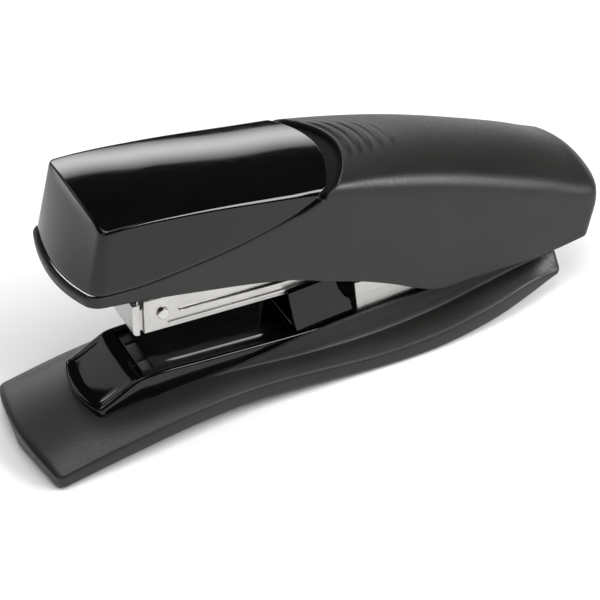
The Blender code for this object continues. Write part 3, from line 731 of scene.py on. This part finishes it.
class Look:
    """A material under construction, with short names for the nodes it needs."""

    def __init__(self, name, colour, roughness, metallic=0.0):
        self.material = bpy.data.materials.new(name)
        self.material.use_nodes = True
        self.nodes = self.material.node_tree.nodes
        self.links = self.material.node_tree.links
        self.shader = self.nodes["Principled BSDF"]
        self.shader.inputs["Base Color"].default_value = (*colour, 1.0)
        self.shader.inputs["Roughness"].default_value = roughness
        self.shader.inputs["Metallic"].default_value = metallic
        self.place = self.nodes.new("ShaderNodeTexCoord").outputs["Object"]

    def noise(self, scale, detail=2.0, stretch=(1.0, 1.0, 1.0), roughness=0.5):
        mapping = self.nodes.new("ShaderNodeMapping")
        mapping.inputs["Scale"].default_value = stretch
        self.links.new(self.place, mapping.inputs["Vector"])
        noise = self.nodes.new("ShaderNodeTexNoise")
        noise.inputs["Scale"].default_value = scale
        noise.inputs["Detail"].default_value = detail
        noise.inputs["Roughness"].default_value = roughness
        self.links.new(mapping.outputs["Vector"], noise.inputs["Vector"])
        return noise.outputs["Fac"]

    def pits(self, scale):
        cells = self.nodes.new("ShaderNodeTexVoronoi")
        cells.feature = "SMOOTH_F1"
        cells.inputs["Scale"].default_value = scale
        self.links.new(self.place, cells.inputs["Vector"])
        return cells.outputs["Distance"]

    def ramp(self, source, socket, low, high, start=0.3, end=0.7):
        """Feeds a socket with a range of greys or colours that follow a texture."""
        ramp = self.nodes.new("ShaderNodeValToRGB")
        for stop, place, value in zip(ramp.color_ramp.elements, (start, end), (low, high)):
            stop.position = place
            stop.color = (*value, 1.0) if isinstance(value, tuple) else (value, value, value, 1.0)
        self.links.new(source, ramp.inputs["Fac"])
        self.links.new(ramp.outputs["Color"], self.shader.inputs[socket])

    def bump(self, source, strength, depth, below=None):
        bump = self.nodes.new("ShaderNodeBump")
        bump.inputs["Strength"].default_value = strength
        bump.inputs["Distance"].default_value = depth * MM
        self.links.new(source, bump.inputs["Height"])
        if below is not None:
            self.links.new(below, bump.inputs["Normal"])
        self.links.new(bump.outputs["Normal"], self.shader.inputs["Normal"])
        return bump.outputs["Normal"]


def matte_plastic():
    """Black plastic with the fine grain of a spark-eroded mould."""
    look = Look("matte_black_plastic", (0.010, 0.0098, 0.009), 0.42)
    look.shader.inputs["Specular IOR Level"].default_value = 0.4
    grain = look.noise(1500, 3.0, roughness=0.65)
    cloud = look.noise(45, 2.0)
    look.ramp(cloud, "Base Color", (0.0085, 0.0084, 0.0078), (0.0115, 0.0112, 0.0102))
    look.ramp(grain, "Roughness", 0.34, 0.5)
    below = look.bump(look.pits(1700), 0.35, 0.05)
    look.bump(grain, 0.5, 0.07, below)
    return look.material


def groove_plastic_painted_shade():
    """The same plastic in the groove, with a darker colour that is painted shade in the recess, and a
    rougher, duller finish.
    """
    # the darker base colour is painted shade in the groove
    look = Look("groove_plastic_painted_shade", (0.004, 0.004, 0.004), 0.8)
    look.shader.inputs["Specular IOR Level"].default_value = 0.12
    grain = look.noise(2300, 3.0, roughness=0.6)
    look.ramp(grain, "Roughness", 0.7, 0.9)
    look.bump(grain, 0.5, 0.08)
    return look.material


def gloss_plastic():
    """Polished black plastic, with a trace of orange peel and of fine handling marks."""
    look = Look("gloss_black_plastic", (0.0018, 0.0018, 0.0019), 0.08)
    look.shader.inputs["Specular IOR Level"].default_value = 0.42
    wear = look.noise(160, 5.0, (1.0, 3.0, 3.0), 0.6)
    cloud = look.noise(60, 2.0)
    look.ramp(cloud, "Base Color", (0.0014, 0.0014, 0.0014), (0.0022, 0.0022, 0.0023))
    look.ramp(wear, "Roughness", 0.055, 0.11)
    look.bump(look.noise(260, 1.0), 0.05, 0.03)
    return look.material


def steel(name="bright_steel", colour=(0.56, 0.55, 0.53), along=(0.04, 1.0, 1.0), rough=(0.26, 0.38)):
    """Rolled sheet steel, with fine lines along the direction in which it was rolled."""
    look = Look(name, colour, sum(rough) / 2, 1.0)
    lines = look.noise(1500, 3.0, along, 0.65)
    cloud = look.noise(70, 3.0)
    pale = tuple(min(1.0, c * 1.06) for c in colour)
    dull = tuple(c * 0.9 for c in colour)
    look.ramp(cloud, "Base Color", dull, pale)
    look.ramp(lines, "Roughness", *rough)
    look.bump(lines, 0.10, 0.03)
    return look.material


def rubber():
    """Dull black rubber with a fine tooth."""
    look = Look("rubber", (0.02, 0.02, 0.02), 0.85)
    tooth = look.noise(1800, 2.0)
    look.ramp(look.noise(120, 2.0), "Base Color", (0.016, 0.016, 0.016), (0.026, 0.026, 0.025))
    look.ramp(tooth, "Roughness", 0.78, 0.95)
    look.bump(tooth, 0.3, 0.08)
    return look.material


def floor_look():
    look = Look("pale_floor", (0.9, 0.9, 0.9), 0.6)
    look.ramp(look.noise(6, 1.0), "Base Color", (0.9, 0.9, 0.9), (0.92, 0.92, 0.92))
    return look.material


# Studio


def make_floor():
    made = bmesh.new()
    bmesh.ops.create_grid(made, x_segments=4, y_segments=4, size=3.0)
    floor = linked("floor", made, floor_look(), 30.0)
    floor.location.z = cad_low.z - 0.0002


def make_light(name, place, target, size, power, soft_edges=False):
    """A rectangular studio light aimed at a point, dark towards its long edges where soft_edges is set."""
    data = bpy.data.lights.new(name, "AREA")
    data.shape = "RECTANGLE"
    data.size, data.size_y = size
    data.energy = power
    if soft_edges:
        data.use_nodes = True
        nodes, links = data.node_tree.nodes, data.node_tree.links
        emission = nodes["Emission"]
        place_on = nodes.new("ShaderNodeNewGeometry").outputs["Parametric"]
        split = nodes.new("ShaderNodeSeparateXYZ")
        links.new(place_on, split.inputs["Vector"])
        ramp = nodes.new("ShaderNodeValToRGB")
        ramp.color_ramp.interpolation = "B_SPLINE"
        stops = ramp.color_ramp.elements
        stops[0].position, stops[0].color = 0.0, (0, 0, 0, 1)
        stops[1].position, stops[1].color = 1.0, (0, 0, 0, 1)
        middle = stops.new(0.5)
        middle.color = (1, 1, 1, 1)
        links.new(split.outputs["Y"], ramp.inputs["Fac"])
        links.new(ramp.outputs["Color"], emission.inputs["Strength"])
    lamp = bpy.data.objects.new(name, data)
    lamp.location = place
    lamp.rotation_euler = (Vector(target) - Vector(place)).to_track_quat("-Z", "Y").to_euler()
    lamp.visible_camera = False
    bpy.context.scene.collection.objects.link(lamp)


def make_studio():
    bpy.context.scene.view_settings.view_transform = "Standard"
    world = bpy.data.worlds.new("studio")
    world.use_nodes = True
    background = world.node_tree.nodes["Background"]
    background.inputs["Color"].default_value = (1.0, 1.0, 1.0, 1.0)
    background.inputs["Strength"].default_value = 0.03
    bpy.context.scene.world = world
    centre = (0.0, 0.0, 0.03)
    make_light("overhead_softbox", (-0.1, -0.15, 1.5), centre, (1.2, 1.2), 17)
    make_light("rear_strip", (0.2, 0.88, 0.345), centre, (1.0, 0.32), 8, soft_edges=True)
    make_light("left_fill", (-1.3, -0.7, 0.6), centre, (0.9, 0.9), 2)
    make_light("far_left_fill", (-0.7, 1.07, 0.75), centre, (0.7, 0.7), 1.4)
    make_light("key", (0.96, -0.76, 0.87), centre, (1.0, 0.6), 26)


def make_camera():
    """The main view: from the front left and above, with a slight roll."""
    data = bpy.data.cameras.new("camera")
    data.sensor_width = 36.0
    data.lens = 165.0
    target = Vector((-0.001, 0.0, 0.0148))
    distance = 0.8383
    azimuth, elevation, roll = (math.radians(a) for a in (-21.83, 39.35, -6.76))
    back = Vector(
        (
            math.sin(azimuth) * math.cos(elevation),
            -math.cos(azimuth) * math.cos(elevation),
            math.sin(elevation),
        )
    )
    level = Vector((math.cos(azimuth), math.sin(azimuth), 0.0))
    upright = back.cross(level)
    right = level * math.cos(roll) + upright * math.sin(roll)
    up = -level * math.sin(roll) + upright * math.cos(roll)
    place = target + back * distance
    camera = bpy.data.objects.new("camera", data)
    camera.matrix_world = Matrix(
        (
            (right.x, up.x, back.x, place.x),
            (right.y, up.y, back.y, place.y),
            (right.z, up.z, back.z, place.z),
            (0.0, 0.0, 0.0, 1.0),
        )
    )
    bpy.context.scene.collection.objects.link(camera)
    bpy.context.scene.camera = camera


def repaint(node, look):
    """Gives a carried-over CAD node a finer material."""
    obj = frame["nodes"][node]
    obj.data.materials.clear()
    obj.data.materials.append(look)
    obj.data.shade_smooth()


def main():
    for name in ("Cube", "Light", "Camera"):
        if name in bpy.data.objects:
            bpy.data.objects.remove(bpy.data.objects[name], do_unlink=True)
    make_camera()
    make_studio()
    make_floor()
    matte, gloss, black_rubber = matte_plastic(), gloss_plastic(), rubber()
    sheet = steel()
    upright = steel("upright_steel", (0.56, 0.55, 0.54), (1.0, 1.0, 0.04), (0.24, 0.34))
    dark = steel("blackened_steel", (0.03, 0.03, 0.032), (1.0, 0.04, 1.0), (0.4, 0.55))
    turned = steel("turned_steel", (0.6, 0.59, 0.57), (1.0, 0.3, 1.0), (0.2, 0.32))
    wire = steel("spring_steel", (0.4, 0.4, 0.41), (1.0, 1.0, 1.0), (0.25, 0.4))

    make_shell(matte)
    make_groove(groove_plastic_painted_shade())
    make_cap(gloss)
    make_base(matte)
    make_insert(gloss)
    finishes = {
        gloss: {"magazine_saddle": 0.2, "staple_pusher": 0.2},
        sheet: {
            "magazine_housing": 0.12,
            "tray_channel": 0.1,
            "handle_frame": 0.12,
            "hinge_bracket": 0.15,
            "driver_blade": 0.08,
        },
        dark: {"anvil_plate": 0.12},
        upright: {"tray_nose": 0.12},
        turned: {
            "hinge_pin": 0.3,
            "magazine_rivet_right": 0.15,
            "magazine_rivet_left": 0.15,
            "bracket_screw_front": 0.15,
            "bracket_screw_rear": 0.15,
            "frame_screw_front": 0.2,
            "frame_screw_rear": 0.2,
        },
        wire: {"spring_bridge": 0.12, "blade_clamp": 0.2, "pin_clip_right": 0.12, "pin_clip_left": 0.12},
        matte: {"tray_stop": 0.2},
        black_rubber: {
            "foot_front_right": 0.5,
            "foot_front_left": 0.5,
            "foot_middle_right": 0.5,
            "foot_middle_left": 0.5,
        },
    }
    for look, nodes in finishes.items():
        for node, width in nodes.items():
            softened(node, look, width)
    for node in ("lift_spring", "pusher_spring", "return_spring"):
        repaint(node, wire)


main()
